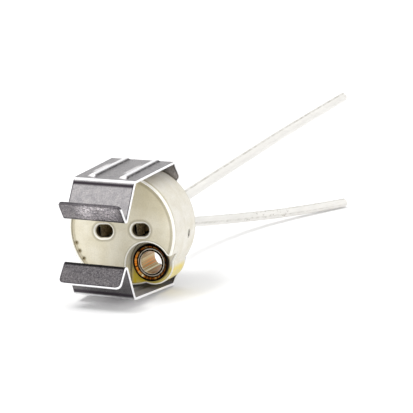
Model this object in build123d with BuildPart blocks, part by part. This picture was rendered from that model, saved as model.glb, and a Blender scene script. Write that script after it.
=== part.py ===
from build123d import *
from math import cos, pi, radians, sin, tan
import os

os.makedirs("parts", exist_ok=True)

# Bi-pin lamp holder, in millimetres. The lamp plugs in from -Y, the leads leave towards +Y, +Z is up.
# The origin is the middle of the ceramic's front face, between the two pin slots.
# Apart from the leads' routes and the dimples, the holder looks the same after half a turn about Y.

# Ceramic body: a round block with an ear for each eyelet
body_radius = 7.9
body_depth = 7.6
rim_height = 0.25
rim_width = 0.38
edge_break = 0.2  # chamfer of the outer edges
pin_pitch = 5.4
pin_turn = 6.0  # degrees, anticlockwise seen from the lamp
slot_length = 2.55
slot_height = 1.8
slot_chamfer = 0.25
slot_web = 0.4  # least wall between a slot's mouth and a recess
face_wall = 1.0
ear_radius = 3.0
ear_proud = 1.03  # how far the ears stand out of the round block
ear_angle = 50.1  # degrees from X
ear_front = 1.95
seat_depth = 1.2  # from the block's back to the ears' back
recess_margin = 0.25
recess_tip_round = 0.55
side_pit_radius = 0.35
side_pit_depth = 0.6
side_pit_y = 5.0
side_pit_z = -0.65
dimple_count = 3
dimple_radius = 0.2
dimple_depth = 0.15
dimple_inset = 0.8  # from the round block's edge
dimple_start = 197.9  # degrees from X
dimple_step = 9.7
dimple_taper = 30.0

# Chambers for the contacts, open at the rear, with a bay beside each for its lead
chamber_width = 3.4
chamber_height = 2.4
bay_width = 2.6
bay_height = 2.6
bay_depth = 3.0
chamber_round = 0.3
lead_offset = 1.4  # from the pin's axis to the lead's axis

# Insulating plate that closes the chambers
insulator_thickness = 0.5
insulator_margin = 0.25
insulator_gap = 0.05

# Contacts of nickel strip, with a barrel crimped on the conductor, and the steel springs behind them
strip = 0.25
contact_height = 1.9
contact_mouth = 0.95
contact_gap = 0.3
contact_grip = 0.58
contact_half_width = 1.15
leaf_grip = 0.36  # share of the leaf's length where it grips the pin
leaf_shoulder = 0.65
web_gap = 0.5
contact_bend = 0.2
tail_width = 1.5
barrel_wall = 0.3
barrel_gap = 0.3
spring_strip = 0.2
spring_height = 1.4
spring_drop = 0.25
spring_gap = 0.1

# Leads and their stripped conductors
lead_diameter = 1.6
lead_gap = 0.05
lead_hole_gap = 0.15
conductor_diameter = 0.8
conductor_gap = 0.35
crimp_gap = 0.02

# Eyelets: brass tubes with a dished flange in front, rolled over behind
eyelet_inset = 0.2
eyelet_angle = 51.0  # degrees from X
bore_radius = 1.55
eyelet_wall = 0.33
eyelet_gap = 0.05
ring_height = 0.25
groove_floor = 0.13
groove_width = 0.2
flange_width = 0.72
flange_height = 0.55
flange_crest = 0.2
flange_edge = 0.07
roll_width = 0.27
roll_height = 0.35

# Retaining clip: one bent strip of spring steel, riveted to the ears by the eyelets
sheet = 0.3
bend_radius = 0.45
panel_gap = 0.1
panel_slope = 3.5  # degrees, the panels close towards the lamp
panel_reach = 5.7
apex_forward = 2.9
throat_half = 2.7
lip_forward = 2.1
lip_rise = 2.7
lip_corner = 0.7
front_half_width = 4.45
back_half_width = 4.73
shoulder_half_width = 5.45
shoulder_drop = 2.0
waist_half_width = 4.5
waist_drop = 3.3
shoulder_round = 0.35
pad_width = 0.72
pad_gap = 0.1
pad_margin = 0.25
lead_opening_gap = 0.45
rib_x = 2.25
rib_radius = 1.1
rib_height = 0.3
rib_front = 4.3
rib_down = 1.7
rib_corner = 0.8  # how far the ribs' corner is cut back at the bend
rib_point = 45.0  # degrees, slope of the ribs' pointed ends
rib_blunt = 0.1

# Places worked out from the sizes above
recess_radius = ear_radius + recess_margin
slot_clearance = recess_radius + slot_web + slot_height / 2 + slot_chamfer
ear_reach = max(body_radius + ear_proud - ear_radius, slot_clearance / sin(radians(ear_angle + pin_turn)))
ear_x = ear_reach * cos(radians(ear_angle))
ear_z = ear_reach * sin(radians(ear_angle))
ear_back = body_depth - seat_depth
body_top = max(body_radius, ear_z + ear_radius)
eyelet_reach = ear_reach - eyelet_inset
eyelet_x = eyelet_reach * cos(radians(eyelet_angle))
eyelet_z = eyelet_reach * sin(radians(eyelet_angle))
ear_spots = [(ear_x, -ear_z), (-ear_x, ear_z)]
eyelet_spots = [(eyelet_x, -eyelet_z), (-eyelet_x, eyelet_z)]
pin_spots = [(pin_pitch / 2, 0), (-pin_pitch / 2, 0)]
lead_spots = [(pin_pitch / 2, lead_offset), (-pin_pitch / 2, -lead_offset)]
shank_radius = bore_radius + eyelet_wall
flange_radius = shank_radius + flange_width
roll_radius = shank_radius + roll_width
pad_radius = shank_radius + pad_width
pad_edge = pad_radius + pad_margin
insulator_front = body_depth - insulator_thickness
bay_front = body_depth - bay_depth
contact_front = face_wall + contact_gap
contact_web = bay_front + web_gap
leaf_length = contact_web - contact_front
contact_grip_y = contact_front + leaf_grip * leaf_length
contact_shoulder_y = contact_front + leaf_shoulder * leaf_length
barrel_back = insulator_front - barrel_gap
conductor_front = contact_web + conductor_gap
lead_start = barrel_back + lead_gap
clip_back = body_depth + sheet
turned_x = Vector(cos(radians(pin_turn)), 0, sin(radians(pin_turn)))
turned_z = Vector(-sin(radians(pin_turn)), 0, cos(radians(pin_turn)))

# Routes of the leads' axes from the ceramic to their cut ends, as (x, y, z)
upper_route = [
    (2.54, lead_start, 1.67),
    (2.54, 9.6, 1.67),
    (3.1, 14.2, 2.35),
    (4.0, 22.5, 3.6),
    (5.6, 38.0, 5.85),
    (7.75, 57.5, 8.7),
    (10.2, 76.2, 11.3),
]
lower_route = [
    (-2.54, lead_start, -1.67),
    (-2.54, 9.6, -1.67),
    (-2.45, 14.8, -2.1),
    (-2.1, 23.5, -3.3),
    (-1.0, 35.9, -5.1),
    (1.1, 49.5, -6.7),
    (5.2, 63.7, -7.9),
    (10.6, 77.3, -8.15),
]


def level(y):
    """A plane at depth y that faces the lamp, with its x along X and its y along Z."""
    return Plane(origin=(0, y, 0), x_dir=(1, 0, 0), z_dir=(0, -1, 0))


def turned(y):
    """The same plane, turned so that its x runs along the line of the pins."""
    return Plane(origin=(0, y, 0), x_dir=turned_x, z_dir=(0, -1, 0))


def half_turned(piece):
    """The piece on the other side of the holder, half a turn about Y away."""
    return piece.part.rotate(Axis.Y, 180)


# Outline of the insulating plate: a band over both chambers and a lobe over each lead bay
with BuildSketch() as insulator_outline:
    band_length = pin_pitch + chamber_width + 2 * insulator_margin
    RectangleRounded(band_length, chamber_height + 2 * insulator_margin, chamber_round)
    with Locations(*lead_spots):
        RectangleRounded(bay_width + 2 * insulator_margin, bay_height + 2 * insulator_margin, chamber_round)

# Ceramic body: its front slab has two recesses that leave the eyelets open
with BuildPart() as ceramic_body:
    with BuildSketch(level(-rim_height)) as face_outline:
        Circle(body_radius)
        for x, z in ear_spots:
            with Locations((x, z)):
                Circle(recess_radius, mode=Mode.SUBTRACT)
            with Locations((x, z + body_radius * z / abs(z))):
                Rectangle(2 * recess_radius, 2 * body_radius, mode=Mode.SUBTRACT)
        tips = face_outline.vertices().filter_by(
            lambda tip: abs(Vector(tip.X, tip.Y).length - body_radius) < edge_break / 10
        )
        fillet(tips, recess_tip_round)
    extrude(amount=-(rim_height + ear_front))
    chamfer(ceramic_body.edges().group_by(Axis.Y)[0], edge_break)
    # Rear block, and the ears beside it
    with BuildSketch(level(ear_front)):
        Circle(body_radius)
    extrude(amount=-(body_depth - ear_front))
    chamfer(ceramic_body.edges().group_by(Axis.Y)[-1], edge_break)
    with BuildSketch(level(ear_front)):
        with Locations(*ear_spots):
            Circle(ear_radius)
    extrude(amount=-(ear_back - ear_front))
    # Face sunk inside the rim
    with BuildSketch(level(-rim_height)):
        Circle(body_radius - rim_width)
    extrude(amount=-rim_height, mode=Mode.SUBTRACT)
    # Pin slots with chamfered mouths
    with BuildSketch(turned(0)):
        with Locations(*pin_spots):
            SlotOverall(slot_length, slot_height)
    extrude(amount=-face_wall, mode=Mode.SUBTRACT)
    sunk_face = ceramic_body.faces().filter_by_position(Axis.Y, -rim_height / 4, rim_height / 4)[0]
    chamfer(sunk_face.inner_wires().edges(), slot_chamfer)
    # Contact chambers and lead bays
    with BuildSketch(turned(face_wall)):
        with Locations(*pin_spots):
            RectangleRounded(chamber_width, chamber_height, chamber_round)
    extrude(amount=-(body_depth - face_wall), mode=Mode.SUBTRACT)
    with BuildSketch(turned(bay_front)):
        with Locations(*lead_spots):
            RectangleRounded(bay_width, bay_height, chamber_round)
    extrude(amount=-(body_depth - bay_front), mode=Mode.SUBTRACT)
    with BuildSketch(turned(insulator_front - insulator_gap)):
        add(insulator_outline.sketch)
        offset(amount=insulator_gap)
    extrude(amount=-(insulator_thickness + insulator_gap), mode=Mode.SUBTRACT)
    # Rear seats for the clip's pads, and the eyelet holes
    with BuildSketch(level(ear_back)):
        with Locations(*eyelet_spots):
            Circle(pad_radius + pad_gap)
    extrude(amount=-(body_depth - ear_back), mode=Mode.SUBTRACT)
    with BuildSketch(level(ear_front)):
        with Locations(*eyelet_spots):
            Circle(shank_radius + eyelet_gap)
    extrude(amount=-(ear_back - ear_front), mode=Mode.SUBTRACT)
    # Dimples along the edge of the face
    with BuildSketch(level(0)):
        with PolarLocations(
            body_radius - dimple_inset, dimple_count, dimple_start, dimple_step * (dimple_count - 1), endpoint=True
        ):
            Circle(dimple_radius)
    extrude(amount=-dimple_depth, taper=dimple_taper, mode=Mode.SUBTRACT)
    # A small blind pit in each side
    for side in (1, -1):
        pit_mouth = (side * body_radius, side_pit_y, side * side_pit_z)
        with BuildSketch(Plane(origin=pit_mouth, x_dir=(0, 1, 0), z_dir=(side, 0, 0))):
            Circle(side_pit_radius)
        extrude(amount=-side_pit_depth, mode=Mode.SUBTRACT)

# Insulating plate
with BuildPart() as rear_insulator:
    with BuildSketch(turned(insulator_front)):
        add(insulator_outline.sketch)
        with Locations(*lead_spots):
            Circle(lead_diameter / 2 + lead_hole_gap, mode=Mode.SUBTRACT)
    extrude(amount=-insulator_thickness)

# Contact of the right-hand pin: two leaves that grip it, a web, and a tail up to the crimp barrel
pin_plane = Plane(origin=turned_x * pin_pitch / 2, x_dir=turned_x, z_dir=turned_z)
barrel_radius = conductor_diameter / 2 + crimp_gap + barrel_wall
leaf = [
    (contact_mouth, contact_front),
    (contact_grip, contact_grip_y),
    (contact_half_width, contact_shoulder_y),
    (contact_half_width, contact_web),
]
with BuildPart() as contact_right:
    with BuildSketch(pin_plane):
        with BuildLine():
            FilletPolyline(*leaf, *[(-x, y) for x, y in reversed(leaf)], radius=contact_bend)
        trace(line_width=strip)
    extrude(amount=contact_height / 2, both=True)
    with BuildSketch(turned(contact_web - strip / 2)):
        with Locations((pin_pitch / 2, (lead_offset + barrel_radius) / 2)):
            Rectangle(tail_width, lead_offset + barrel_radius)
    extrude(amount=-strip)
    with BuildSketch(turned(contact_web)):
        with Locations(lead_spots[0]):
            Circle(barrel_radius)
    extrude(amount=-(barrel_back - contact_web))
    with BuildSketch(turned(contact_web + strip / 2)):
        with Locations(lead_spots[0]):
            Circle(conductor_diameter / 2 + crimp_gap)
    extrude(amount=-(barrel_back - contact_web), mode=Mode.SUBTRACT)

# Steel spring outside the leaves, with its base behind the web
spring_offset = (strip + spring_strip) / 2 + spring_gap
spring_leaf = [
    (contact_grip + spring_offset, contact_grip_y),
    (contact_half_width + spring_offset, contact_shoulder_y),
    (contact_half_width + spring_offset, contact_web + spring_offset),
]
with BuildPart() as backing_spring_right:
    with BuildSketch(pin_plane.offset(-spring_drop)):
        with BuildLine():
            FilletPolyline(*spring_leaf, *[(-x, y) for x, y in reversed(spring_leaf)], radius=contact_bend)
        trace(line_width=spring_strip)
    extrude(amount=spring_height / 2, both=True)

# Stripped conductor inside the right-hand barrel
with BuildPart() as conductor_upper:
    with BuildSketch(turned(conductor_front)):
        with Locations(lead_spots[0]):
            Circle(conductor_diameter / 2)
    extrude(amount=-(lead_start - conductor_front))

# Lower eyelet, turned about its bore: the ring, the groove, the dished flange, the shank and the roll
pad_back = ear_back + sheet
flange_slope_foot = shank_radius + groove_width
with BuildPart() as eyelet_lower:
    with BuildSketch(Plane(origin=(eyelet_x, 0, -eyelet_z))) as eyelet_section:
        with BuildLine():
            Polyline(
                (bore_radius, pad_back + roll_height),
                (bore_radius, ear_front - ring_height),
                (shank_radius, ear_front - ring_height),
                (shank_radius, ear_front - groove_floor),
                (flange_slope_foot, ear_front - groove_floor),
                (flange_radius - flange_crest, ear_front - flange_height),
                (flange_radius, ear_front - flange_height),
                (flange_radius, ear_front),
                (shank_radius, ear_front),
                (shank_radius, pad_back),
                (roll_radius, pad_back),
                (roll_radius, pad_back + roll_height),
                close=True,
            )
        make_face()
        chamfer(eyelet_section.vertices().group_by(Axis.Y)[0], flange_edge)
        chamfer(eyelet_section.vertices().group_by(Axis.Y)[-1], flange_edge)
    revolve(axis=Axis((eyelet_x, 0, -eyelet_z), (0, 1, 0)))

# Middle line of the clip's upper half, as (y, z): lip, apex, front bend and back bend
slope = tan(radians(panel_slope))
back_line = body_depth + sheet / 2
panel_line = body_top + panel_gap + sheet / 2
panel_top = panel_line + back_line * slope
apex_line = -panel_reach - apex_forward
upper_line = [
    (apex_line - lip_forward, throat_half + lip_rise),
    (apex_line, throat_half),
    (-panel_reach, panel_line - panel_reach * slope),
    (back_line, panel_top),
]
clip_line = upper_line + [(y, -z) for y, z in reversed(upper_line)]
clip_half_length = eyelet_x + pad_edge + sheet

# Flat outline of the clip: the panels and lips seen from above, and the back plate seen from behind
panel_end = panel_top - bend_radius
half_plate = [
    (back_half_width, panel_top + sheet),
    (back_half_width, panel_end),
    (shoulder_half_width, panel_top - shoulder_drop),
    (waist_half_width, panel_top - waist_drop),
]
right_edge = half_plate + [(x, -z) for x, z in reversed(half_plate)]
with BuildPart() as clip_outline:
    with BuildSketch():
        Polygon(
            (-front_half_width, apex_line - 2 * lip_forward),
            (front_half_width, apex_line - 2 * lip_forward),
            (front_half_width, -panel_reach),
            (back_half_width, body_depth),
            (-back_half_width, body_depth),
            (-front_half_width, -panel_reach),
            align=None,
        )
    extrude(amount=panel_top + sheet, both=True)
    with BuildSketch(level(body_depth)) as plate_outline:
        Polygon(*right_edge, *[(-x, z) for x, z in reversed(right_edge)], align=None)
        shoulders = plate_outline.vertices().filter_by(
            lambda corner: panel_top - waist_drop - sheet < abs(corner.Y) < panel_end
        )
        fillet(shoulders, shoulder_round)
        with Locations(*eyelet_spots):
            Circle(pad_edge)
    extrude(amount=-2 * sheet)

# Ribs pressed into the panels over the back bend: their outside, and the groove that they leave inside
def rib(radius):
    """Four round bars under the panels' outside, each bent down the back plate and pointed at both ends."""
    depth = rib_radius - rib_height
    axis_end = panel_line + sheet / 2 - depth
    corner_y = clip_back - depth
    corner_z = axis_end + corner_y * slope
    with BuildPart() as bars:
        for x in (rib_x, -rib_x):
            for side in (1, -1):
                front = Vector(x, -rib_front, side * (axis_end - rib_front * slope))
                corner_top = Vector(x, corner_y - rib_corner, side * (corner_z - rib_corner * slope))
                corner_back = Vector(x, corner_y, side * (corner_z - rib_corner))
                end = Vector(x, corner_y, side * (corner_z - rib_down))
                with BuildLine():
                    axis = Polyline(front, corner_top, corner_back, end)
                with BuildSketch(axis ^ 0):
                    Circle(radius)
                sweep(path=axis, transition=Transition.RIGHT)
                for tip, outward in ((front, -(axis % 0)), (end, axis % 1)):
                    with BuildSketch(Plane(origin=tip, z_dir=outward)):
                        Circle(radius)
                    extrude(amount=radius - rib_blunt, taper=rib_point)
    return bars


rib_outside = rib(rib_radius)
rib_groove = rib(rib_radius - sheet)
with BuildPart() as rib_skin:
    add(rib_outside.part)
    with BuildSketch(Plane.YZ):
        Polygon(*clip_line[2:-2], align=None)
    extrude(amount=clip_half_length, both=True, mode=Mode.SUBTRACT)

with BuildPart() as retaining_clip:
    with BuildSketch(Plane.YZ):
        with BuildLine():
            FilletPolyline(*clip_line, radius=bend_radius)
        trace(line_width=sheet)
    extrude(amount=clip_half_length, both=True)
    add(clip_outline.part, mode=Mode.INTERSECT)
    lip_corners = retaining_clip.edges().filter_by(
        lambda edge: abs(edge.length - sheet) < sheet / 10 and edge.center().Y < apex_line - lip_forward / 2
    )
    fillet(lip_corners, lip_corner)
    add(rib_skin.part)
    add(rib_groove.part, mode=Mode.SUBTRACT)
    # Pads pressed forward into the ceramic's rear seats, with the eyelet holes
    with BuildSketch(level(ear_back)):
        with Locations(*eyelet_spots):
            Circle(pad_radius)
    extrude(amount=-(clip_back - ear_back))
    with BuildSketch(level(pad_back)):
        with Locations(*eyelet_spots):
            Circle(pad_radius - sheet)
    extrude(amount=-(clip_back - pad_back), mode=Mode.SUBTRACT)
    with BuildSketch(level(ear_back)):
        with Locations(*eyelet_spots):
            Circle(shank_radius + eyelet_gap)
    extrude(amount=-sheet, mode=Mode.SUBTRACT)
    # Openings for the leads
    with BuildSketch(turned(body_depth)):
        with Locations(*lead_spots):
            Circle(lead_diameter / 2 + lead_opening_gap)
    extrude(amount=-sheet, mode=Mode.SUBTRACT)

# Pieces of the other side
with BuildPart() as contact_left:
    add(half_turned(contact_right))
with BuildPart() as backing_spring_left:
    add(half_turned(backing_spring_right))
with BuildPart() as conductor_lower:
    add(half_turned(conductor_upper))
with BuildPart() as eyelet_upper:
    add(half_turned(eyelet_lower))


def lead(name, route):
    """A lead's insulation along its route: straight runs joined by arcs as large as the runs allow."""
    points = [Vector(*point) for point in route]
    runs = [stop - start for start, stop in zip(points, points[1:])]
    radii = []
    for before, after in zip(runs, runs[1:]):
        half_turn = radians(before.get_angle(after)) / 2
        radii.append(0.45 * min(before.length, after.length) / tan(half_turn))
    with BuildPart() as tube:
        with BuildLine():
            axis = FilletPolyline(*points, radius=radii)
        with BuildSketch(axis ^ 0):
            Circle(lead_diameter / 2)
        sweep(path=axis)
    section = pi * lead_diameter**2 / 4
    print(f"{name}: length {axis.length:.1f} mm, radii {[round(radius, 1) for radius in radii]}")
    print(f"{name}: volume {tube.part.volume:.2f}, section times length {section * axis.length:.2f}")
    return tube


lead_upper = lead("lead_upper", upper_route)
lead_lower = lead("lead_lower", lower_route)

pieces = {
    "ceramic_body": ceramic_body,
    "retaining_clip": retaining_clip,
    "eyelet_lower": eyelet_lower,
    "eyelet_upper": eyelet_upper,
    "contact_left": contact_left,
    "contact_right": contact_right,
    "backing_spring_left": backing_spring_left,
    "backing_spring_right": backing_spring_right,
    "rear_insulator": rear_insulator,
    "conductor_lower": conductor_lower,
    "conductor_upper": conductor_upper,
    "lead_lower": lead_lower,
    "lead_upper": lead_upper,
}
for name, piece in pieces.items():
    piece.part.label = name
    export_step(piece.part, f"parts/{name}.step")
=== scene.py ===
# Bi-pin lamp holder: ceramic block, bent spring clip, brass eyelets and two white leads
import bmesh
import bpy
import math
from mathutils import Matrix, Vector


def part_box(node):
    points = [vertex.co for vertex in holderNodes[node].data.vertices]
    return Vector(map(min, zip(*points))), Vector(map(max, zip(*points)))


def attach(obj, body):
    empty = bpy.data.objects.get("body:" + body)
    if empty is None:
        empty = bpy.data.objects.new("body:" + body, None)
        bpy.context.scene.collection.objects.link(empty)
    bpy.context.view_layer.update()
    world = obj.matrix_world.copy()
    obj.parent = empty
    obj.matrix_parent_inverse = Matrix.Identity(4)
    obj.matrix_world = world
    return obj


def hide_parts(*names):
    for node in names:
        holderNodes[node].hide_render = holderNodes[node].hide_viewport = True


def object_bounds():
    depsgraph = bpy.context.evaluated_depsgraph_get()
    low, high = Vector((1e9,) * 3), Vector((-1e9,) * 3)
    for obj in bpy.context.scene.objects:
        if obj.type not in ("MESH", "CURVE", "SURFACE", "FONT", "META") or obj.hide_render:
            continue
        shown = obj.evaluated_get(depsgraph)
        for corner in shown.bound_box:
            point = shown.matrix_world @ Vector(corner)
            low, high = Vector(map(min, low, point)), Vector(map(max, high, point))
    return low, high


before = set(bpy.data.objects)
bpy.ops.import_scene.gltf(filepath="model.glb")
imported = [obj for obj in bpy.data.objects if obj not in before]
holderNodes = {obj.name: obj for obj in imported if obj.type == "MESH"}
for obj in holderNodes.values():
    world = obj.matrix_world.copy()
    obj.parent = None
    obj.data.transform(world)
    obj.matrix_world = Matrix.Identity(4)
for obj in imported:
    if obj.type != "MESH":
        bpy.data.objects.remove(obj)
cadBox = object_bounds()
mm = 0.001

# Colours and nodes


def srgb(red, green, blue):
    # Display values, 0 to 255, as the linear colour that the shaders want
    def linear(value):
        value = value / 255
        return value / 12.92 if value <= 0.04045 else ((value + 0.055) / 1.055) ** 2.4
    return (linear(red), linear(green), linear(blue), 1)


def asColor(value):
    # A grey for a plain number. Colours and sockets stay as they are
    return (value, value, value, 1) if isinstance(value, (int, float)) else value


def addNode(tree, kind, **settings):
    node = tree.nodes.new(kind)
    for name, value in settings.items():
        setattr(node, name, value)
    return node


def feed(tree, socket, value):
    # Link the value if it is a socket, or else set it
    if hasattr(value, "is_linked"):
        tree.links.new(value, socket)
    else:
        socket.default_value = value


def newMaterial(name):
    material = bpy.data.materials.new(name)
    material.use_nodes = True
    tree = material.node_tree
    shader = tree.nodes["Principled BSDF"]
    return material, tree, shader


def calculate(tree, operation, first, second=0.0, third=0.5):
    node = addNode(tree, "ShaderNodeMath", operation=operation)
    for socket, value in zip(node.inputs, (first, second, third)):
        feed(tree, socket, value)
    return node.outputs["Value"]


def times(tree, first, *others):
    for other in others:
        first = calculate(tree, "MULTIPLY", first, other)
    return first


def opposite(tree, mask):
    return calculate(tree, "SUBTRACT", 1.0, mask)


def above(tree, value, limit):
    return calculate(tree, "GREATER_THAN", value, limit)


def below(tree, value, limit):
    return calculate(tree, "LESS_THAN", value, limit)


def smooth(tree, value, low, high):
    # 0 below low, 1 above high, and a soft step between them
    node = addNode(tree, "ShaderNodeMapRange", interpolation_type="SMOOTHSTEP")
    node.inputs["From Min"].default_value = low
    node.inputs["From Max"].default_value = high
    tree.links.new(value, node.inputs["Value"])
    return node.outputs["Result"]


def band(tree, value, low, high, soft):
    # 1 between low and high, 0 outside, with soft ends
    rise = smooth(tree, value, low - soft, low + soft)
    fall = smooth(tree, value, high - soft, high + soft)
    return calculate(tree, "SUBTRACT", rise, fall)


def distance(tree, across, up):
    squares = [times(tree, value, value) for value in (across, up)]
    return calculate(tree, "SQRT", calculate(tree, "ADD", *squares))


def spot(tree, first, second, center, radius):
    # 1 within a radius of a place given by two coordinates
    across = calculate(tree, "SUBTRACT", first, center[0])
    up = calculate(tree, "SUBTRACT", second, center[1])
    return opposite(tree, smooth(tree, distance(tree, across, up), radius * 0.6, radius * 1.2))


def objectPoint(tree, stretch=(1, 1, 1)):
    # The piece's own coordinates in millimetres, squeezed along each axis by its number
    place = addNode(tree, "ShaderNodeTexCoord")
    mapping = addNode(tree, "ShaderNodeMapping")
    mapping.inputs["Scale"].default_value = [factor / mm for factor in stretch]
    tree.links.new(place.outputs["Object"], mapping.inputs["Vector"])
    return mapping.outputs["Vector"]


def splitAxes(tree, vector):
    split = addNode(tree, "ShaderNodeSeparateXYZ")
    tree.links.new(vector, split.inputs["Vector"])
    return split.outputs["X"], split.outputs["Y"], split.outputs["Z"]


def surfaceNormal(tree):
    return addNode(tree, "ShaderNodeTexCoord").outputs["Normal"]


def facing(tree, normal, direction):
    # Above 0 where the surface faces the direction, and 1 where both are of length 1 and agree
    node = addNode(tree, "ShaderNodeVectorMath", operation="DOT_PRODUCT")
    feed(tree, node.inputs[0], normal)
    feed(tree, node.inputs[1], direction)
    return node.outputs["Value"]


def noise(tree, point, grain, detail=3, rough=0.55):
    # grain is the size of one blotch, in millimetres
    node = addNode(tree, "ShaderNodeTexNoise")
    node.inputs["Scale"].default_value = 1 / grain
    node.inputs["Detail"].default_value = detail
    node.inputs["Roughness"].default_value = rough
    tree.links.new(point, node.inputs["Vector"])
    return node.outputs["Fac"]


def ramp(tree, value, *stops):
    node = addNode(tree, "ShaderNodeValToRGB")
    elements = node.color_ramp.elements
    while len(elements) < len(stops):
        elements.new(0.5)
    for element, (place, color) in zip(elements, stops):
        element.position = place
        element.color = asColor(color)
    tree.links.new(value, node.inputs["Fac"])
    return node.outputs["Color"]


def mixColor(tree, factor, first, second, blend="MIX"):
    node = addNode(tree, "ShaderNodeMix", data_type="RGBA", blend_type=blend)
    for socket, value in ((node.inputs[0], factor), (node.inputs[6], first), (node.inputs[7], second)):
        feed(tree, socket, value)
    return node.outputs[2]


def tinted(tree, mask, tone, tint):
    # The tone multiplied by a colour or a grey where the mask is 1
    return mixColor(tree, mask, tone, mixColor(tree, 1.0, tone, asColor(tint), "MULTIPLY"))


def addBump(tree, shader, height, depth):
    # depth is the height of the texture's relief, in millimetres
    node = addNode(tree, "ShaderNodeBump")
    node.inputs["Distance"].default_value = depth * mm
    tree.links.new(height, node.inputs["Height"])
    tree.links.new(node.outputs["Normal"], shader.inputs["Normal"])


def edgeShade(tree, reach):
    # Unshadowed part of the inside of the solid: near 1 on open faces, falling to 0.5 at a convex edge
    node = addNode(tree, "ShaderNodeAmbientOcclusion", inside=True, only_local=True, samples=64)
    node.inputs["Distance"].default_value = reach * mm
    return node.outputs["AO"]


def creviceMask(tree, reach, low, high):
    # 1 deep in a corner, 0 on open faces
    node = addNode(tree, "ShaderNodeAmbientOcclusion", samples=16)
    node.inputs["Distance"].default_value = reach * mm
    return ramp(tree, node.outputs["AO"], (low, 1.0), (high, 0.0))


# Camera

camera = {
    "azimuth": 20.15,
    "elevation": 10.331,
    "roll": 0.576,
    "distance": 200 * mm,
    "lookAt": (10.57 * mm, 4.53 * mm, 3.36 * mm),
    "focalLength": 128.28,  # on a 36 mm sensor
    "nearest": 0.01,
    "farthest": 200,
}


def makeCamera():
    azimuth = math.radians(camera["azimuth"])
    elevation = math.radians(camera["elevation"])
    back = Vector((
        math.sin(azimuth) * math.cos(elevation),
        -math.cos(azimuth) * math.cos(elevation),
        math.sin(elevation),
    ))
    right = Vector((0, 0, 1)).cross(back).normalized()
    up = back.cross(right)
    turn = Matrix.Rotation(math.radians(camera["roll"]), 3, back)
    axes = Matrix((turn @ right, turn @ up, back)).transposed()
    lens = bpy.data.cameras.new("photoCamera")
    lens.lens = camera["focalLength"]
    lens.clip_start = camera["nearest"]
    lens.clip_end = camera["farthest"]
    holder = bpy.data.objects.new("photoCamera", lens)
    holder.matrix_world = axes.to_4x4()
    holder.location = Vector(camera["lookAt"]) + back * camera["distance"]
    bpy.context.scene.collection.objects.link(holder)
    bpy.context.scene.camera = holder


# Floor, light and room

studio = {
    "floorHalfSize": 30.0,
    "floorColor": (0.93, 0.93, 0.93, 1),
    "floorLift": 0.1,  # glow that takes the lit paper up to white
    "sunFrom": (-0.35, -0.6, 1.0),
    "sunStrength": 1.3,
    "sunAngle": 22,
    "roomLevel": 1.0,
    # Tones of the room by degrees above the floor, behind the holder and in front of it
    "roomBack": [(0, 1.1), (7, 1.0), (14, 0.7), (26, 0.55), (44, 0.25), (62, 0.4), (76, 1.7)],
    "roomFront": [(0, 1.05), (20, 1.0), (46, 0.95), (57, 0.9), (66, 0.8), (76, 1.7)],
    "backStarts": (0.42, 0.6),  # from front to back across the room, 0 to 1
    "rightGlow": 1.3,  # the room to the holder's right against the room to its left
    "glowStarts": (0.5, 0.9),  # from left to right across the room, 0 to 1
}


def paperMaterial():
    material, tree, shader = newMaterial("palePaper")
    shader.inputs["Base Color"].default_value = studio["floorColor"]
    shader.inputs["Roughness"].default_value = 0.9
    shader.inputs["Specular IOR Level"].default_value = 0.0
    # The lift shows to the eye and in mirrors, and lights nothing
    ray = addNode(tree, "ShaderNodeLightPath")
    seen = calculate(tree, "MAXIMUM", ray.outputs["Is Camera Ray"], ray.outputs["Is Glossy Ray"])
    seen = calculate(tree, "MAXIMUM", seen, ray.outputs["Is Transmission Ray"])
    shader.inputs["Emission Color"].default_value = (1, 1, 1, 1)
    tree.links.new(times(tree, seen, studio["floorLift"]), shader.inputs["Emission Strength"])
    return material


def makeFloor():
    size = studio["floorHalfSize"]
    corners = [(-size, -size, 0), (size, -size, 0), (size, size, 0), (-size, size, 0)]
    mesh = bpy.data.meshes.new("paleFloor")
    mesh.from_pydata(corners, [], [(0, 1, 2, 3)])
    mesh.transform(Matrix.Translation((0, 0, cadBox[0].z)))
    mesh.materials.append(paperMaterial())
    floor = bpy.data.objects.new("paleFloor", mesh)
    bpy.context.scene.collection.objects.link(floor)


def makeSun():
    sun = bpy.data.lights.new("softSun", "SUN")
    sun.energy = studio["sunStrength"]
    sun.angle = math.radians(studio["sunAngle"])
    holder = bpy.data.objects.new("softSun", sun)
    holder.rotation_mode = "QUATERNION"
    holder.rotation_quaternion = Vector(studio["sunFrom"]).to_track_quat("Z", "Y")
    holder.visible_glossy = False  # the metal shows the room, not the lamp
    bpy.context.scene.collection.objects.link(holder)


def makeRoom():
    # White paper at the horizon, grey walls with a pale band, a white ceiling panel
    world = bpy.data.worlds.new("studioRoom")
    bpy.context.scene.world = world
    world.use_nodes = True
    tree = world.node_tree
    background = tree.nodes["Background"]
    direction = addNode(tree, "ShaderNodeTexCoord")
    toRight, toBack, upward = splitAxes(tree, direction.outputs["Generated"])
    halves = []
    for tones in (studio["roomFront"], studio["roomBack"]):
        stops = [(math.sin(math.radians(angle)), tone) for angle, tone in tones]
        halves.append(ramp(tree, upward, *stops))
    low, high = studio["backStarts"]
    behind = ramp(tree, calculate(tree, "MULTIPLY_ADD", toBack, 0.5), (low, 0.0), (high, 1.0))
    low, high = studio["glowStarts"]
    glow = studio["rightGlow"]
    right = ramp(tree, calculate(tree, "MULTIPLY_ADD", toRight, 0.5), (low, 1.0), (high, glow))
    room = mixColor(tree, 1.0, mixColor(tree, behind, *halves), right, "MULTIPLY")
    tree.links.new(room, background.inputs["Color"])
    background.inputs["Strength"].default_value = studio["roomLevel"]


makeCamera()
makeFloor()
makeSun()
makeRoom()
bpy.context.scene.view_settings.view_transform = "Standard"
print("studio and camera ready")

# Ceramic block

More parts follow.
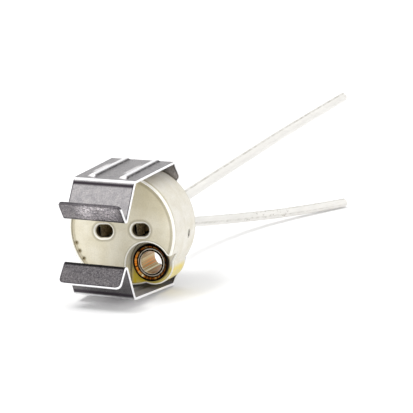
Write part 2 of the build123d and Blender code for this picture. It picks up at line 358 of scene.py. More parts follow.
ceramic = {
    "clay": srgb(224, 216, 190),
    "pale": srgb(236, 230, 210),
    # painted highlight along edges and round the pin slots
    "edge": srgb(255, 253, 244),
    # painted shade in corners, inside the rim, beside edges, round the slots and in the dimples
    "creviceShade": srgb(128, 114, 76),
    "stain": srgb(238, 212, 36),
    "slotShade": srgb(44, 34, 22),  # painted shade inside the pin slots, with the brown below mottled in
    "slotShadeBrown": srgb(66, 54, 34),
    # painted shade in the side wall's pit
    "pitShade": srgb(84, 74, 44),
    "shade": (0.84, 0.81, 0.70, 1),  # painted shade on the upper part of the face, under the clip, darker and browner
    "side": (1.0, 1.02, 1.13, 1),  # painted light on the side wall, which it makes whiter
    # Grains and places in millimetres. Radii are from the ceramic's middle line
    "cloud": 2.2,
    "speck": 0.2,
    "edgeReach": 0.36,
    "creviceReach": 0.35,
    "faceY": 0.27,  # the face and its rim lie in front of it
    "shadeZ": (0.5, 6.5),
    "sideRadius": 7.6,
    "rimLine": (7.05, 7.32),  # the painted shadow line inside the rim
    "stainCloud": 1.1,
    "stainX": (0.3, 1.2),
    "stainZ": (-5.4, -4.5),  # the stain's upper end on the lower ear
    "stainFade": (8.0, 9.4),  # radii
    "slotPitch": 5.4,  # the pin slots' outline
    "slotTurn": 6.0,  # degrees
    "slotStraight": 0.75,
    "slotRing": (0.98, 1.17),  # the painted highlight ring, from the slot's middle line
    "slotFringe": (1.23, 1.47),  # the painted brown shade fringe outside it
    "slotWallStart": (0.28, 0.4),  # the painted shade inside the slots, along Y
    "slotWallEnd": 3.0,
    "slotWallX": 4.4,  # and as far as this from the middle
    "slotWallZ": 1.5,
    "slotShadeGrain": 0.3,
    "pit": (5.0, -0.65),  # along Y and Z, in the right-hand side
    "pitSquash": 0.6,  # below 1 it is taller than wide
    "pitRadius": 0.36,
    "pitX": 6.0,  # the side lies to the right of it
    "dimpleReach": 7.1,  # radius
    "dimpleAngles": (197.9, 207.6, 217.3),
    "dimpleRadius": 0.3,
    "dimpleY": 0.8,  # the dimples lie in front of it
    "biscuit": 0.14,  # the fired surface's grain and relief
    "relief": 0.006,
    "rough": 0.42,
}


def slotReach(tree, alongX, alongZ):
    # Distance from the middle line of the nearer pin slot
    turn = math.radians(ceramic["slotTurn"])
    right, up = math.cos(turn), math.sin(turn)
    lengthwise = calculate(tree, "ADD", times(tree, alongX, right), times(tree, alongZ, up))
    crosswise = calculate(tree, "SUBTRACT", times(tree, alongZ, right), times(tree, alongX, up))
    for half in (ceramic["slotPitch"] / 2, ceramic["slotStraight"] / 2):
        lengthwise = calculate(tree, "SUBTRACT", calculate(tree, "ABSOLUTE", lengthwise), half)
    return distance(tree, calculate(tree, "MAXIMUM", lengthwise, 0.0), crosswise)


def shadedSlots(tree, tone, point, onFace):
    # Painted shade on the slots' walls, near black and mottled brown, and a painted highlight ring round
    # each slot with a painted brown shade fringe outside it
    alongX, alongY, alongZ = splitAxes(tree, point)
    wall = times(
        tree, smooth(tree, alongY, *ceramic["slotWallStart"]), below(tree, alongY, ceramic["slotWallEnd"]),
        below(tree, calculate(tree, "ABSOLUTE", alongX), ceramic["slotWallX"]),
        below(tree, calculate(tree, "ABSOLUTE", alongZ), ceramic["slotWallZ"]),
    )
    slotShading = noise(tree, point, ceramic["slotShadeGrain"], 4, 0.7)
    slotShading = ramp(tree, slotShading, (0.35, ceramic["slotShade"]), (0.65, ceramic["slotShadeBrown"]))
    tone = mixColor(tree, wall, tone, slotShading)
    reach = slotReach(tree, alongX, alongZ)
    fringe = times(tree, onFace, band(tree, reach, *ceramic["slotFringe"], 0.12), 0.35)
    tone = mixColor(tree, fringe, tone, ceramic["creviceShade"])
    ring = times(tree, onFace, band(tree, reach, *ceramic["slotRing"], 0.05))
    return mixColor(tree, ring, tone, ceramic["edge"])


def shadedPits(tree, tone, point):
    # Painted shade inside the pit in the side wall and inside the three dimples at the face's edge
    alongX, alongY, alongZ = splitAxes(tree, point)
    squash = ceramic["pitSquash"]
    center = (ceramic["pit"][0], ceramic["pit"][1] * squash)
    pit = spot(tree, alongY, times(tree, alongZ, squash), center, ceramic["pitRadius"])
    pit = times(tree, pit, above(tree, alongX, ceramic["pitX"]))
    tone = mixColor(tree, pit, tone, ceramic["pitShade"])
    for angle in ceramic["dimpleAngles"]:
        center = [ceramic["dimpleReach"] * turn(math.radians(angle)) for turn in (math.cos, math.sin)]
        dimple = spot(tree, alongX, alongZ, center, ceramic["dimpleRadius"])
        dimple = times(tree, dimple, below(tree, alongY, ceramic["dimpleY"]), 0.7)
        tone = mixColor(tree, dimple, tone, ceramic["creviceShade"])
    return tone


def ceramicMaterial():
    material, tree, shader = newMaterial("bareSteatite")
    point = objectPoint(tree)
    alongX, alongY, alongZ = splitAxes(tree, point)
    onFace = below(tree, alongY, ceramic["faceY"])
    radial = distance(tree, alongX, alongZ)

    # Pale clay, with painted shade that makes the upper face browner and painted light that makes the side
    # wall whiter
    clouds = noise(tree, point, ceramic["cloud"], 4)
    tone = ramp(tree, clouds, (0.35, ceramic["clay"]), (0.65, ceramic["pale"]))
    speck = ramp(tree, noise(tree, point, ceramic["speck"], 3, 0.6), (0.3, 0.9), (0.62, 1.0))
    tone = mixColor(tree, 1.0, tone, speck, "MULTIPLY")
    upperFace = times(tree, smooth(tree, alongZ, *ceramic["shadeZ"]), onFace)
    tone = tinted(tree, upperFace, tone, ceramic["shade"])
    tone = tinted(tree, above(tree, radial, ceramic["sideRadius"]), tone, ceramic["side"])

    # Yellow stain on the lower ear and in its recess
    low = opposite(tree, smooth(tree, alongZ, *ceramic["stainZ"]))
    fading = opposite(tree, times(tree, smooth(tree, radial, *ceramic["stainFade"]), 0.5))
    uneven = ramp(tree, noise(tree, point, ceramic["stainCloud"]), (0.3, 0.6), (0.6, 1.0))
    stained = times(tree, low, smooth(tree, alongX, *ceramic["stainX"]), fading, uneven)
    tone = mixColor(tree, stained, tone, ceramic["stain"])

    # Painted shade in corners and inside the rim, and painted highlights along edges with a thin painted
    # dark line beside them
    cornerShade = creviceMask(tree, ceramic["creviceReach"], 0.5, 0.9)
    tone = mixColor(tree, cornerShade, tone, ceramic["creviceShade"])
    shade = edgeShade(tree, ceramic["edgeReach"])
    fringe = ramp(tree, shade, (0.84, 0.0), (0.91, 0.5), (0.99, 0.0))
    tone = mixColor(tree, fringe, tone, ceramic["creviceShade"])
    rimLine = times(tree, onFace, band(tree, radial, *ceramic["rimLine"], 0.12), 0.4)
    tone = mixColor(tree, rimLine, tone, ceramic["creviceShade"])
    tone = mixColor(tree, ramp(tree, shade, (0.72, 1.0), (0.82, 0.0)), tone, ceramic["edge"])

    tone = shadedSlots(tree, tone, point, onFace)
    tone = shadedPits(tree, tone, point)
    tree.links.new(tone, shader.inputs["Base Color"])
    shader.inputs["Roughness"].default_value = ceramic["rough"]
    addBump(tree, shader, noise(tree, point, ceramic["biscuit"], 2), ceramic["relief"])
    return material


# Retaining clip

steel = {
    "light": (0.64, 0.625, 0.635, 1),
    "dark": (0.40, 0.385, 0.40, 1),
    "white": (0.97, 0.97, 0.98, 1),  # painted highlights on cut edges and bends, with some bare metal on the cut edges
    # painted highlight on the ribs
    "ribHighlight": (0.95, 0.93, 0.93, 1),
    # painted shade for the dark lines beside bends and cut edges and on the upper lip's cut edge
    "black": (0.06, 0.05, 0.06, 1),
    "patches": ((0.86, 0.85, 0.86, 1), (1.1, 1.08, 1.06, 1)),
    "mottle": ((0.45, 0.44, 0.46, 1), (1.6, 1.56, 1.58, 1)),  # on the lips
    # What the tone is multiplied by
    # painted shade on both lips
    "lipTone": 0.37,
    "litTone": 3.6,  # painted light on the right-hand part of the upper lip
    "lowerTone": 0.31,  # painted shade on the lower front panel
    "insideTone": 0.5,  # painted shade on the bottom panel's inner side
    "plateTone": 0.85,  # painted shade on the back plate, seen from the front
    "ribShadeTone": 0.15,
    "creaseTone": 0.12,
    "apexTone": 0.2,
    # Grains and places in millimetres
    "grain": 0.16,
    "blotch": 0.7,
    "speckle": 0.4,
    "mottling": 0.22,
    "edgeReach": 0.28,  # a little less than the sheet's thickness
    "bendY": -5.7,  # where the top and bottom panels turn down to the front
    "apexY": -8.6,  # where the lips begin
    "apexLine": (-9.13, -8.5),  # the painted dark line where each lip begins
    "litFrom": (-2.6, -0.6),  # where the painted light on the upper lip begins, along X
    "litTo": (3.2, 4.4),
    "lipEndZ": (4.9, 5.1),  # the cut edge along the upper lip, painted dark as shade
    "panelZ": (6.5, 7.0),  # the top and bottom panels lie beyond it
    "creaseReach": 1.3,
    "creaseY": -6.3,  # the folds lie in front of it
    "bendLine": (-0.24, 0.14),  # the painted highlight line, from the bend backwards
    "bendShade": (-0.56, -0.32),
    "lowerBendShift": 0.015,
    "bendFadeX": (-1.0, 3.0),  # the lower bend's painted highlight line fades to the right
    "bottomZ": -6.0,  # the bottom panel lies below it
    "plateY": 4.5,  # the back plate lies behind it
    "relief": 0.005,
    # How blurred and how weak the metal's reflections are, 0 to 1
    "rough": (0.26, 0.36),
    "roughBare": 0.5,
    "roughPatch": 0.5,  # mm, one patch of roughness
    "bareDull": 0.75,
    "insideDull": 0.9,
}
ribs = {
    # In millimetres. The widths are across the rib, from its middle line towards its shaded flank
    "middle": 2.25,  # along X
    "ends": (-4.7, 6.7),  # along Y
    "startZ": (5.5, 6.5),  # how far the ribs come down the back plate
    "crest": (-0.3, 0.3),
    "flankFrom": (-0.75, -0.6),
    "flankTo": (0.0, 0.1),
    "smearFrom": (-1.5, -1.1),  # the painted highlight spreads beside the middle of each rib
    "smearY": (-1.6, 3.6),
    "smearGrain": 0.9,
    "shade": (0.46, 0.66),
    "shadeGrain": 0.8,
    "clear": (0.9, 1.0),  # no cut edge is drawn nearer to the middle line
    "clearY": -4.6,  # behind this place
    "clearZ": 5.2,  # and further than this from the middle of the clip
}


def markedLips(tree, tone, point, lip, upper):
    # Mottled lips darkened as painted shade, the upper one lit brighter towards its right end as painted
    # light, over a lower front darkened as painted shade
    alongX, alongY, _ = splitAxes(tree, point)
    mottle = noise(tree, point, steel["mottling"], 4, 0.8)
    mottle = ramp(tree, mottle, (0.36, steel["mottle"][0]), (0.64, steel["mottle"][1]))
    tone = tinted(tree, lip, tone, mottle)
    tone = tinted(tree, lip, tone, steel["lipTone"])
    speckle = noise(tree, objectPoint(tree, (1, 1.6, 1.6)), steel["speckle"], 4, 0.75)
    speckle = ramp(tree, speckle, (0.36, 0.0), (0.6, 1.0))
    litPatch = times(
        tree, lip, upper, smooth(tree, alongX, *steel["litFrom"]),
        opposite(tree, smooth(tree, alongX, *steel["litTo"])), speckle,
    )
    tone = tinted(tree, litPatch, tone, steel["litTone"])
    front = opposite(tree, smooth(tree, alongY, steel["bendY"] - 0.2, steel["bendY"]))
    lowerFront = times(tree, front, opposite(tree, calculate(tree, "MAXIMUM", lip, upper)))
    return tinted(tree, lowerFront, tone, steel["lowerTone"])


def ribMasks(tree, point, upper):
    # Where the ribs take a painted highlight on the crest and on one flank, painted shade on the other
    # flank, and where they are clear of drawn edges
    alongX, alongY, alongZ = splitAxes(tree, point)
    height = calculate(tree, "ABSOLUTE", alongZ)
    side = calculate(tree, "SUBTRACT", times(tree, upper, 2.0), 1.0)
    middle = times(tree, calculate(tree, "SIGN", alongX), ribs["middle"])
    across = times(tree, calculate(tree, "SUBTRACT", alongX, middle), side)
    outward = above(tree, facing(tree, surfaceNormal(tree), point), 0.0)
    onRib = times(
        tree, band(tree, alongY, *ribs["ends"], 0.12), smooth(tree, height, *ribs["startZ"]), outward,
    )

    spread = times(tree, smooth(tree, across, *ribs["smearFrom"]), band(tree, alongY, *ribs["smearY"], 1.0))
    flank = calculate(tree, "MAXIMUM", spread, smooth(tree, across, *ribs["flankFrom"]))
    smear = noise(tree, objectPoint(tree, (1, 0.35, 1)), ribs["smearGrain"])
    smear = ramp(tree, smear, (0.35, 0.7), (0.55, 1.0))
    flank = times(tree, onRib, flank, opposite(tree, smooth(tree, across, *ribs["flankTo"])), smear)
    crest = times(tree, onRib, band(tree, across, *ribs["crest"], 0.06))
    uneven = ramp(tree, noise(tree, point, ribs["shadeGrain"]), (0.35, 0.5), (0.6, 1.0))
    shaded = times(tree, onRib, band(tree, across, *ribs["shade"], 0.08), uneven)
    beside = times(
        tree, opposite(tree, smooth(tree, calculate(tree, "ABSOLUTE", across), *ribs["clear"])),
        above(tree, height, ribs["clearZ"]), above(tree, alongY, ribs["clearY"]),
    )
    return crest, flank, shaded, opposite(tree, beside)


def bendMasks(tree, point, upper):
    # The painted highlight along each front bend, and the painted shade line under it
    alongX, alongY, alongZ = splitAxes(tree, point)
    onPanel = smooth(tree, calculate(tree, "ABSOLUTE", alongZ), *steel["panelZ"])
    shift = times(tree, opposite(tree, upper), steel["lowerBendShift"])
    pastBend = calculate(tree, "ADD", calculate(tree, "SUBTRACT", alongY, steel["bendY"]), shift)
    unfaded = calculate(tree, "MAXIMUM", upper, opposite(tree, smooth(tree, alongX, *steel["bendFadeX"])))
    whiteLines = times(
        tree, onPanel, band(tree, pastBend, *steel["bendLine"], 0.07),
        calculate(tree, "MULTIPLY_ADD", unfaded, 0.6, 0.4),
    )
    shaded = times(tree, onPanel, band(tree, pastBend, *steel["bendShade"], 0.08))
    return whiteLines, shaded


def steelMaterial():
    material, tree, shader = newMaterial("rolledSpringSteel")
    point = objectPoint(tree)
    _, alongY, alongZ = splitAxes(tree, point)
    upper = smooth(tree, alongZ, -1.0, 1.0)
    lip = opposite(tree, smooth(tree, alongY, steel["apexY"] - 0.3, steel["apexY"]))

    # Rolled sheet with fine grain and broad patches
    grain = noise(tree, point, steel["grain"], 3, 0.7)
    tone = ramp(tree, grain, (0.3, steel["dark"]), (0.68, steel["light"]))
    patches = noise(tree, point, steel["blotch"])
    patches = ramp(tree, patches, (0.35, steel["patches"][0]), (0.65, steel["patches"][1]))
    tone = mixColor(tree, 1.0, tone, patches, "MULTIPLY")
    tone = markedLips(tree, tone, point, lip, upper)

    # Painted shade on the inner sides of the bottom panel and the back plate
    _, faceY, faceZ = splitAxes(tree, surfaceNormal(tree))
    inside = times(tree, below(tree, alongZ, steel["bottomZ"]), above(tree, faceZ, 0.5))
    tone = tinted(tree, inside, tone, steel["insideTone"])
    plate = times(tree, above(tree, alongY, steel["plateY"]), below(tree, faceY, -0.5))
    tone = tinted(tree, plate, tone, steel["plateTone"])

    # Painted highlights on the ribs' crests and one flank, and painted shade along the other flank
    crest, flank, ribShade, clearOfRibs = ribMasks(tree, point, upper)
    tone = mixColor(tree, flank, tone, steel["ribHighlight"])
    tone = mixColor(tree, crest, tone, steel["white"])
    tone = tinted(tree, ribShade, tone, steel["ribShadeTone"])

    # Painted shade in the folds behind the lips, and a painted dark line along them
    crease = times(
        tree, below(tree, alongY, steel["creaseY"]), creviceMask(tree, steel["creaseReach"], 0.45, 0.92),
    )
    tone = tinted(tree, crease, tone, steel["creaseTone"])
    tone = tinted(tree, band(tree, alongY, *steel["apexLine"], 0.06), tone, steel["apexTone"])

    # Painted highlights on the bends and cut edges, partly bare metal on the cut edges, with a painted dark
    # line beside them
    bend, bendShade = bendMasks(tree, point, upper)
    tone = mixColor(tree, bendShade, tone, steel["black"])
    shade = edgeShade(tree, steel["edgeReach"])
    fringe = ramp(tree, shade, (0.76, 0.0), (0.82, 0.95), (0.93, 0.95), (0.99, 0.0))
    tone = mixColor(tree, times(tree, fringe, clearOfRibs), tone, steel["black"])
    cut = times(tree, ramp(tree, shade, (0.7, 1.0), (0.77, 0.0)), clearOfRibs)
    lipEnd = times(tree, lip, smooth(tree, alongZ, *steel["lipEndZ"]))
    tone = mixColor(tree, times(tree, cut, lipEnd, 0.8), tone, steel["black"])
    cut = times(tree, cut, opposite(tree, times(tree, lipEnd, 0.95)))
    whiteLines = calculate(tree, "MAXIMUM", bend, cut)
    tree.links.new(mixColor(tree, whiteLines, tone, steel["white"]), shader.inputs["Base Color"])

    # The painted highlights, partly bare metal, mirror less than the sheet, and so does the bottom panel's
    # inner side
    dull = calculate(tree, "MAXIMUM", whiteLines, calculate(tree, "MAXIMUM", crest, flank))
    dull = times(tree, dull, steel["bareDull"])
    dull = calculate(tree, "MAXIMUM", dull, times(tree, inside, steel["insideDull"]))
    tree.links.new(opposite(tree, dull), shader.inputs["Metallic"])
    low, high = steel["rough"]
    rough = ramp(tree, noise(tree, point, steel["roughPatch"]), (0.3, low), (0.7, high))
    rough = mixColor(tree, calculate(tree, "MAXIMUM", whiteLines, inside), rough, asColor(steel["roughBare"]))
    tree.links.new(rough, shader.inputs["Roughness"])
    addBump(tree, shader, grain, steel["relief"])
    return material


# Contacts, springs, conductors and the insulating plate

metals = {
    "contact": ("tintedNickel", srgb(176, 156, 118), srgb(240, 226, 192), 0.6),
    "backing_spring": ("springStrip", srgb(92, 88, 84), srgb(140, 136, 130), 0.4),
    "conductor": ("tinnedCopper", srgb(190, 170, 150), srgb(226, 214, 200), 0.35),
}
metalGrain = 0.25  # mm
mica = {
    "dark": srgb(176, 160, 128),
    "light": srgb(212, 200, 170),
    "flake": 0.5,  # mm
    "rough": 0.35,
}


def plainMetal(name, dark, light, rough):
    material, tree, shader = newMaterial(name)
    tone = ramp(tree, noise(tree, objectPoint(tree), metalGrain), (0.3, dark), (0.7, light))
    tree.links.new(tone, shader.inputs["Base Color"])
    shader.inputs["Metallic"].default_value = 1.0
    shader.inputs["Roughness"].default_value = rough
    return material


def micaMaterial():
    material, tree, shader = newMaterial("pressedMica")
    flakes = noise(tree, objectPoint(tree), mica["flake"], 4)
    flakes = ramp(tree, flakes, (0.35, mica["dark"]), (0.65, mica["light"]))
    tree.links.new(flakes, shader.inputs["Base Color"])
    shader.inputs["Roughness"].default_value = mica["rough"]
    return material


finishes = {
    "ceramic_body": ceramicMaterial(),
    "retaining_clip": steelMaterial(),
    "rear_insulator": micaMaterial(),
}
for start, finish in metals.items():
    finishes[start] = plainMetal(*finish)
for name, node in holderNodes.items():
    for start, material in finishes.items():
        if name.startswith(start):
            node.data.materials.clear()
            node.data.materials.append(material)
print("finishes on")

# Eyelets: drawn brass tubes, dished in front and rolled over behind

eyelet = {
    "segments": 96,
    # Section from the roll at the back, through the bore, over the front and back along the shank.
    # Each point is the radius and the depth along Y, in millimetres, and how clean and how lit the brass is
    # there: low values paint shade in the grooves and round the flange, high values paint highlights on the
    # rings
    "section": [
        (1.90, 6.72, 0.3), (2.12, 6.76, 0.5), (2.15, 6.88, 0.7), (2.10, 6.99, 0.9), (1.98, 7.04, 1.0),
        (1.80, 7.05, 1.0), (1.66, 7.02, 0.9), (1.58, 6.92, 0.8), (1.55, 6.75, 0.5), (1.55, 4.50, 0.5),
        (1.55, 2.00, 0.58), (1.55, 1.86, 0.9), (1.56, 1.76, 1.2), (1.58, 1.71, 1.2), (1.61, 1.70, 0.9),
        (1.63, 1.71, -0.4), (1.72, 1.77, -0.9), (1.80, 1.81, -0.6), (1.83, 1.825, 1.1), (1.92, 1.82, 1.1),
        (1.95, 1.80, -0.4), (2.00, 1.78, -0.7), (2.05, 1.71, -0.4), (2.09, 1.67, 0.3), (2.20, 1.56, 0.38),
        (2.32, 1.465, 0.3), (2.36, 1.43, -0.4), (2.42, 1.41, -0.6), (2.52, 1.41, -0.6), (2.60, 1.50, -0.5),
        (2.60, 1.80, 0.0), (2.58, 1.91, 0.0), (2.50, 1.95, 0.0),
        (1.90, 1.95, 0.1), (1.88, 2.05, 0.3), (1.88, 6.66, 0.3),
    ],
    # Tones from black through tarnished brass to white: black for painted shade, white for painted
    # highlights
    "tones": [
        (0.0, srgb(18, 12, 8)), (0.18, srgb(84, 50, 18)), (0.34, srgb(226, 128, 34)),
        (0.46, srgb(140, 110, 58)), (0.6, srgb(184, 164, 110)), (0.8, srgb(240, 232, 198)),
        (1.0, srgb(255, 250, 238)),
    ],
    "streaks": (45, 0.4, 1),  # how finely they lie around the eyelet and along it
    "streakSize": 1.6,
    "streakDepth": 2.2,  # how far they shift the value that picks the tone
    "relief": 0.01,  # mm
    "rough": 0.3,
}


def brassMaterial():
    material, tree, shader = newMaterial("drawnBrass")
    cleanAndLit = addNode(tree, "ShaderNodeAttribute", attribute_name="cleanAndLit").outputs["Fac"]
    around = addNode(tree, "ShaderNodeUVMap", uv_map="section")
    stretch = addNode(tree, "ShaderNodeMapping")
    stretch.inputs["Scale"].default_value = eyelet["streaks"]
    tree.links.new(around.outputs["UV"], stretch.inputs["Vector"])
    streaks = noise(tree, stretch.outputs["Vector"], eyelet["streakSize"], 4, 0.6)
    uneven = times(tree, calculate(tree, "SUBTRACT", streaks, 0.5), eyelet["streakDepth"])
    tone = ramp(tree, calculate(tree, "ADD", cleanAndLit, uneven), *eyelet["tones"])
    tree.links.new(tone, shader.inputs["Base Color"])
    shader.inputs["Metallic"].default_value = 1.0
    shader.inputs["Roughness"].default_value = eyelet["rough"]
    addBump(tree, shader, streaks, eyelet["relief"])
    return material


def turnedMesh(name, centerX, centerZ):
    # The section turned once around the eyelet's own axis
    points = eyelet["section"]
    count = eyelet["segments"]
    vertices = []
    faces = []
    for step in range(count):
        angle = 2 * math.pi * step / count
        here = step * len(points)
        there = (step + 1) % count * len(points)
        for place, (radius, depth, _) in enumerate(points):
            x = centerX + radius * mm * math.cos(angle)
            z = centerZ + radius * mm * math.sin(angle)
            vertices.append((x, depth * mm, z))
            after = (place + 1) % len(points)
            faces.append((here + place, there + place, there + after, here + after))
    mesh = bpy.data.meshes.new(name)
    mesh.from_pydata(vertices, [], faces)
    return mesh


def chartBrass(mesh):
    # How clean and how lit each point is, and a chart of the surface for the streaks
    points = eyelet["section"]
    count = eyelet["segments"]
    cleanAndLit = mesh.attributes.new("cleanAndLit", "FLOAT", "POINT")
    for index in range(len(mesh.vertices)):
        cleanAndLit.data[index].value = points[index % len(points)][2]
    chart = mesh.uv_layers.new(name="section")
    for face, polygon in enumerate(mesh.polygons):
        step, place = divmod(face, len(points))
        corners = ((step, place), (step + 1, place), (step + 1, place + 1), (step, place + 1))
        for loop, (around, lengthwise) in zip(polygon.loop_indices, corners):
            chart.data[loop].uv = (around / count, lengthwise / len(points))


def makeEyelet(node, material):
    low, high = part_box(node)
    mesh = turnedMesh(node + "_brass", (low.x + high.x) / 2, (low.z + high.z) / 2)
    chartBrass(mesh)
    work = bmesh.new()
    work.from_mesh(mesh)
    bmesh.ops.recalc_face_normals(work, faces=work.faces)
    work.to_mesh(mesh)
    work.free()
    mesh.shade_smooth()
    mesh.materials.append(material)
    piece = bpy.data.objects.new(node + "_brass", mesh)
    bpy.context.scene.collection.objects.link(piece)
    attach(piece, "root")
    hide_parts(node)


drawnBrass = brassMaterial()
for node in ("eyelet_lower", "eyelet_upper"):
    makeEyelet(node, drawnBrass)
print("eyelets turned")

# Leads: smooth white insulation over stranded copper

leads = {
    "diameter": 1.6 * mm,
    "routes": {
        "lead_upper": [
            (2.54, 6.85, 1.67), (2.54, 9.6, 1.67), (3.1, 14.2, 2.35), (4.0, 22.5, 3.6),
            (5.6, 38.0, 5.85), (7.75, 57.5, 8.7), (10.2, 76.2, 11.3),
        ],
        "lead_lower": [
            (-2.54, 6.85, -1.67), (-2.54, 9.6, -1.67), (-2.45, 14.8, -2.1), (-2.1, 23.5, -3.3),
            (-1.0, 35.9, -5.1), (1.1, 49.5, -6.7), (5.2, 63.7, -7.9), (10.6, 77.3, -8.15),
        ],
    },
    "lengths": {"lead_upper": 70.5 * mm, "lead_lower": 72.6 * mm},
    "stepsAlong": 16,
    "stepsAround": 10,
    "tone": srgb(226, 224, 219),
    "paleTone": srgb(236, 234, 229),
    "toneGrain": 1.2,  # mm, like the other grains
    "scuff": srgb(186, 184, 178),
    "scuffGrain": 0.5,
    # painted shade lines along the leads' top and front
    "shadeLine": srgb(166, 161, 152),
    "shadeLineGrain": 0.6,
    "shadeLineTop": (0.2, -0.08, 0.97),  # the way that each painted shade line faces
    "shadeLineFront": (0.97, -0.15, -0.17),  # on the lower lead alone
    "shadeLineTopShare": 0.75,
    "shadeLineFrontShare": 0.5,
    "scrape": srgb(146, 140, 130),
    "scrapeGrain": 0.5,
    "scraped": (47.0, 61.0),  # mm along Y, on the lower lead alone
    "reliefGrain": 0.35,
    "relief": 0.01,
    "rough": 0.36,
}
strands = {
    "diameter": 0.15 * mm,
    "spacing": 0.165 * mm,
    "length": 0.3 * mm,  # most of it is inside the insulation
    "proud": 0.04 * mm,
    "rings": (6, 12),
    "corners": 14,
    "metal": ("bareCopper", srgb(196, 120, 78), srgb(232, 168, 124), 0.35),
}


def leadMaterial():
    material, tree, shader = newMaterial("whiteInsulation")
    point = objectPoint(tree)
    _, alongY, alongZ = splitAxes(tree, point)
    tone = noise(tree, objectPoint(tree, (1, 0.12, 1)), leads["toneGrain"])
    tone = ramp(tree, tone, (0.3, leads["tone"]), (0.7, leads["paleTone"]))
    scuffs = noise(tree, objectPoint(tree, (1, 0.5, 1)), leads["scuffGrain"], 5, 0.7)
    tone = mixColor(tree, ramp(tree, scuffs, (0.67, 0.0), (0.76, 0.5)), tone, leads["scuff"])

    # Broken lengthwise lines of painted shade along the top, and on the lower lead along the front too
    normal = surfaceNormal(tree)
    broken = noise(tree, objectPoint(tree, (1, 0.4, 1)), leads["shadeLineGrain"], 4, 0.7)
    broken = ramp(tree, broken, (0.4, 0.2), (0.62, 1.0))
    onLower = below(tree, alongZ, 0.0)
    frontShare = times(tree, onLower, leads["shadeLineFrontShare"])
    for side, share in ((leads["shadeLineTop"], leads["shadeLineTopShare"]), (leads["shadeLineFront"], frontShare)):
        line = ramp(tree, facing(tree, normal, side), (0.955, 0.0), (0.98, 1.0))
        tone = mixColor(tree, times(tree, line, broken, share), tone, leads["shadeLine"])

    # Scrapes halfway along the lower lead
    scrapes = noise(tree, objectPoint(tree, (1, 0.6, 1)), leads["scrapeGrain"], 3, 0.7)
    scrapes = ramp(tree, scrapes, (0.58, 0.0), (0.68, 0.8))
    scrapes = times(tree, scrapes, band(tree, alongY, *leads["scraped"], 1.0), onLower)
    tone = mixColor(tree, scrapes, tone, leads["scrape"])
    tree.links.new(tone, shader.inputs["Base Color"])
    shader.inputs["Roughness"].default_value = leads["rough"]
    addBump(tree, shader, noise(tree, point, leads["reliefGrain"]), leads["relief"])
    return material


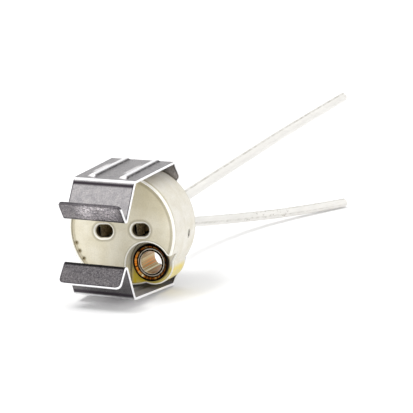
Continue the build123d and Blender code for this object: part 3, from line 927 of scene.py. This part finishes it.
def strandTree(material):
    # One strand in the middle and a ring of strands for each number in the list
    tree = bpy.data.node_groups.new("conductorStrands", "GeometryNodeTree")
    tree.interface.new_socket("Geometry", in_out="INPUT", socket_type="NodeSocketGeometry")
    for name in ("Strand Diameter", "Spacing", "Length"):
        tree.interface.new_socket(name, in_out="INPUT", socket_type="NodeSocketFloat")
    tree.interface.new_socket("Geometry", in_out="OUTPUT", socket_type="NodeSocketGeometry")
    sizes = addNode(tree, "NodeGroupInput")
    strand = addNode(tree, "GeometryNodeMeshCylinder")
    strand.inputs["Vertices"].default_value = strands["corners"]
    tree.links.new(times(tree, sizes.outputs["Strand Diameter"], 0.5), strand.inputs["Radius"])
    tree.links.new(sizes.outputs["Length"], strand.inputs["Depth"])
    rings = addNode(tree, "GeometryNodeJoinGeometry")
    for ring, count in enumerate((1, *strands["rings"])):
        circle = addNode(tree, "GeometryNodeMeshCircle")
        circle.inputs["Vertices"].default_value = max(3, count)  # the middle one's three points are merged
        tree.links.new(times(tree, sizes.outputs["Spacing"], float(ring)), circle.inputs["Radius"])
        merged = addNode(tree, "GeometryNodeMergeByDistance")
        tree.links.new(circle.outputs["Mesh"], merged.inputs["Geometry"])
        tree.links.new(merged.outputs["Geometry"], rings.inputs["Geometry"])
    placed = addNode(tree, "GeometryNodeInstanceOnPoints")
    tree.links.new(rings.outputs["Geometry"], placed.inputs["Points"])
    tree.links.new(strand.outputs["Mesh"], placed.inputs["Instance"])
    real = addNode(tree, "GeometryNodeRealizeInstances")
    tree.links.new(placed.outputs["Instances"], real.inputs["Geometry"])
    coated = addNode(tree, "GeometryNodeSetMaterial")
    coated.inputs["Material"].default_value = material
    tree.links.new(real.outputs["Geometry"], coated.inputs["Geometry"])
    finished = addNode(tree, "NodeGroupOutput")
    tree.links.new(coated.outputs["Geometry"], finished.inputs["Geometry"])
    return tree


def makeStrands(node, tree):
    seed = bpy.data.objects.new("strandSeed", bpy.data.meshes.new("strandSeed"))
    bpy.context.scene.collection.objects.link(seed)
    modifier = seed.modifiers.new("strands", "NODES")
    modifier.node_group = tree
    sizes = {
        "Strand Diameter": strands["diameter"],
        "Spacing": strands["spacing"],
        "Length": strands["length"],
    }
    for socket in tree.interface.items_tree:
        if socket.name in sizes:
            modifier[socket.identifier] = sizes[socket.name]
    evaluated = seed.evaluated_get(bpy.context.evaluated_depsgraph_get())
    mesh = bpy.data.meshes.new_from_object(evaluated)
    bpy.data.objects.remove(seed)
    end, before = (Vector(leads["routes"][node][place]) * mm for place in (-1, -2))
    outward = (end - before).normalized()
    middle = end + outward * (strands["proud"] - strands["length"] / 2)
    mesh.transform(Matrix.Translation(middle) @ outward.to_track_quat("Z", "Y").to_matrix().to_4x4())
    piece = bpy.data.objects.new(node + "_strands", mesh)
    bpy.context.scene.collection.objects.link(piece)
    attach(piece, "root")
    return piece


def makeLead(node, material, tree):
    route = [Vector(point) * mm for point in leads["routes"][node]]
    curve = bpy.data.curves.new(node + "_insulation", "CURVE")
    curve.dimensions = "3D"
    spline = curve.splines.new("NURBS")
    spline.points.add(len(route) - 1)
    for place, point in zip(spline.points, route):
        place.co = (*point, 1)
    spline.order_u = 3
    spline.use_endpoint_u = True
    spline.resolution_u = leads["stepsAlong"]
    curve.bevel_depth = leads["diameter"] / 2
    curve.bevel_resolution = leads["stepsAround"]
    curve.use_fill_caps = True
    curve.materials.append(material)
    piece = bpy.data.objects.new(node + "_insulation", curve)
    bpy.context.scene.collection.objects.link(piece)
    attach(piece, "root")
    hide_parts(node)
    makeStrands(node, tree)


whiteInsulation = leadMaterial()
copperStrands = strandTree(plainMetal(*strands["metal"]))
for node in leads["routes"]:
    makeLead(node, whiteInsulation, copperStrands)
print("leads laid")
